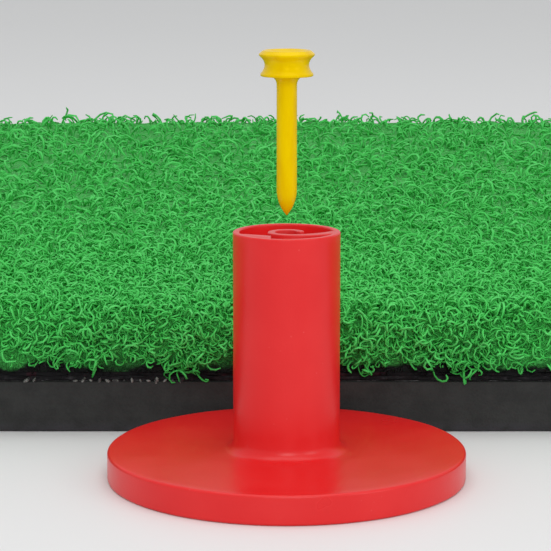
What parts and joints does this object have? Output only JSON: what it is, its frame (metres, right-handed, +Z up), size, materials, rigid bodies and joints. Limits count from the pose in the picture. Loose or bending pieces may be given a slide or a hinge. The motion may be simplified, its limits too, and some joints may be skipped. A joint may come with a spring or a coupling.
{
  "type": "golf hitting mat",
  "caption": "Rectangular practice mat of curly green turf on a black foam base, with a loose red rubber tee holder in front of it and a yellow tee above the holder.",
  "frame": {"origin": "centre of the mat's underside, on the floor", "axes": "+X along the mat, away from the end with the tee hole; +Y away from the tee holder; +Z up"},
  "size_m": [0.6016, 0.3926, 0.0724],
  "materials": {
    "foam": "matte",
    "glue": "matte",
    "latex": "matte",
    "cloth": "matte",
    "turf": "matte",
    "red_rubber": "satin",
    "yellow_plastic": "satin"
  },
  "bodies": {
    "mat": {"foam_base": "foam", "glue_film": "glue", "latex_coat": "latex", "backing_cloth": "cloth", "turf_pile": "turf"},
    "holder": {"tee_holder": "red_rubber"},
    "tee": {"tee": "yellow_plastic"}
  },
  "joints": [
    {"name": "holder_lift", "type": "slide", "parent": "mat", "child": "holder", "axis": [0, 0, 1], "range_m": [0, 0.08]},
    {"name": "tee_push", "type": "slide", "parent": "holder", "child": "tee", "axis": [0, 0, 1], "range_m": [-0.0248, 0]}
  ]
}
